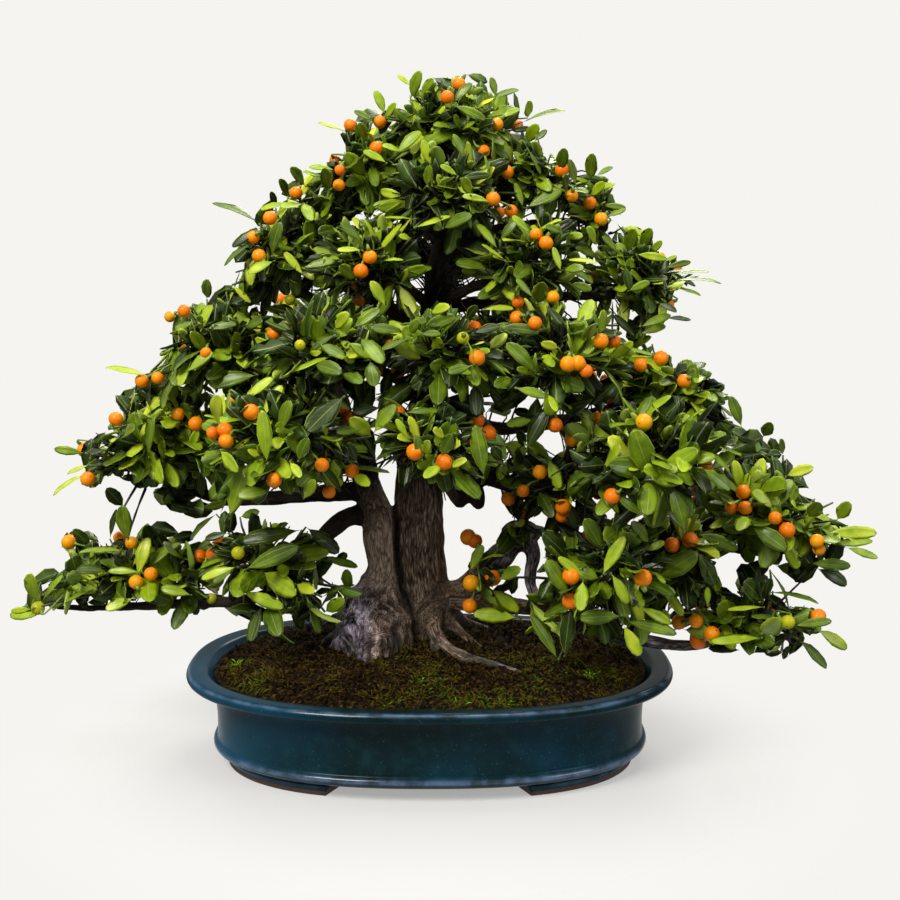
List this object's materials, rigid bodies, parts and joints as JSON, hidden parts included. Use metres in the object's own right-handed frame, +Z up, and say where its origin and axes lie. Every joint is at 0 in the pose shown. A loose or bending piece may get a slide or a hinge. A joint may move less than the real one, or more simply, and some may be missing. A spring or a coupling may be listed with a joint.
{
  "type": "orange bonsai in an oval glazed pot",
  "caption": "Informal upright orange bonsai with a fused second trunk, leafy sprays and small fruits, in a shallow oval glazed pot on curved feet.",
  "frame": {"origin": "under the middle of the pot, on the surface that its feet stand on", "axes": "+Z up, +X to the right along the pot's length, -Y towards the front of the tree"},
  "size_m": [0.868, 0.426, 0.673],
  "materials": {
    "pot": "gloss",
    "soil": "matte",
    "wood": "matte",
    "foliage": "satin"
  },
  "bodies": {
    "root": {"pot": "pot", "soil": "soil", "wood": "wood", "spray_crown": "foliage", "spray_crown_left": "foliage", "spray_crown_right": "foliage", "spray_crown_front": "foliage", "spray_crown_back": "foliage", "spray_left_second": "foliage", "spray_right_second": "foliage", "spray_right_third": "foliage", "spray_second_front_left": "foliage", "spray_second_front_right": "foliage", "spray_second_back": "foliage", "spray_left_third": "foliage", "spray_upper_front_left": "foliage", "spray_upper_front": "foliage", "spray_upper_front_right": "foliage", "spray_right_upper": "foliage", "spray_upper_back_left": "foliage", "spray_upper_back_right": "foliage", "spray_left_long": "foliage", "spray_left_middle": "foliage", "spray_left_front": "foliage", "spray_left_back": "foliage", "spray_low_front": "foliage", "spray_right_long": "foliage", "spray_right_near": "foliage", "spray_right_front": "foliage", "spray_right_back": "foliage", "spray_low_left": "foliage", "spray_left_inner": "foliage", "spray_low_right": "foliage", "spray_low_right_riser": "foliage", "spray_right_inner": "foliage", "spray_arch_tuft": "foliage", "spray_arch_sprout": "foliage"}
  },
  "joints": []
}
